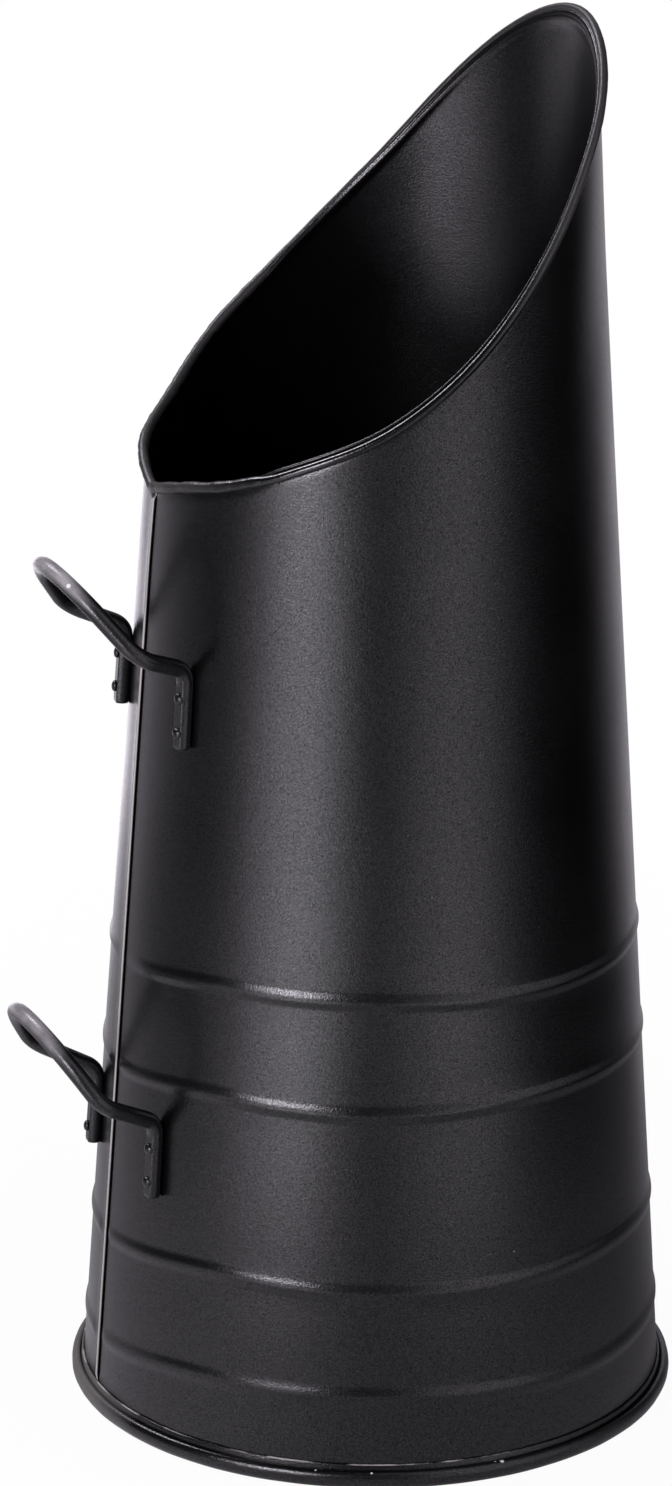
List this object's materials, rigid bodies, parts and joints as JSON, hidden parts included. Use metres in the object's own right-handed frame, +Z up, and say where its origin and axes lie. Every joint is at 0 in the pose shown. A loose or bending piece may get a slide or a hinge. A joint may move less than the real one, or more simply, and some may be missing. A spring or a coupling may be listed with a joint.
{
  "type": "coal scuttle",
  "caption": "Tall tapered black sheet-steel coal scuttle with a slanted pouring mouth, swaged beads, a rolled foot ring and two riveted bow handles on its low side.",
  "frame": {"origin": "centre of the foot ring's underside, on the floor that the scuttle stands on", "axes": "+Z up along the body's axis, +X towards the tall pouring lip, -X towards the two handles, +Y to the left of someone behind the handles"},
  "size_m": [0.2802, 0.249, 0.5711],
  "materials": {
    "sheet_paint": "satin black paint with a fine grain",
    "handle_paint": "satin black paint over round rod",
    "rivet_paint": "satin black paint over domed rivets",
    "plain_wire": "plain drawn wire"
  },
  "bodies": {
    "root": {"body_shell": "sheet_paint", "rim_rod": "sheet_paint", "base_plate": "sheet_paint", "foot_ring": "sheet_paint", "foot_wire": "plain_wire", "upper_handle": "handle_paint", "lower_handle": "handle_paint", "rivet_upper_left_high": "rivet_paint", "rivet_upper_left_low": "rivet_paint", "rivet_upper_right_high": "rivet_paint", "rivet_upper_right_low": "rivet_paint", "rivet_lower_left_high": "rivet_paint", "rivet_lower_left_low": "rivet_paint", "rivet_lower_right_high": "rivet_paint", "rivet_lower_right_low": "rivet_paint"}
  },
  "joints": []
}
